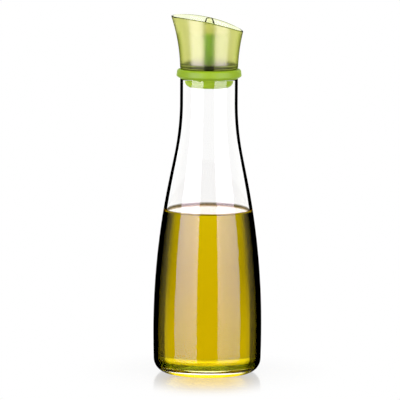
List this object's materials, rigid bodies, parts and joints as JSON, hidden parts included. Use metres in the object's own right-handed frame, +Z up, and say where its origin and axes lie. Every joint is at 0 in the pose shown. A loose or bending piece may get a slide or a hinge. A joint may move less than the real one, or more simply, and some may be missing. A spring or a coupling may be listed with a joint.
{
  "type": "oil cruet",
  "caption": "Tall clear glass cruet part filled with yellow-green oil, closed by a soft green stopper with a frosted pouring funnel.",
  "frame": {"origin": "middle of the base, on the plane that the cruet stands on", "axes": "+Z up along the bottle's axis; -X towards the high side of the funnel's rim"},
  "size_m": [0.076, 0.076, 0.2516],
  "materials": {
    "clear_glass": "clear, polished",
    "oil": "clear yellow-green liquid",
    "soft_green": "satin",
    "frosted_green": "frosted, see-through"
  },
  "bodies": {
    "root": {"bottle": "clear_glass", "oil": "oil", "stopper": "soft_green", "pour_tube": "soft_green", "funnel": "frosted_green", "nose": "frosted_green"}
  },
  "joints": []
}
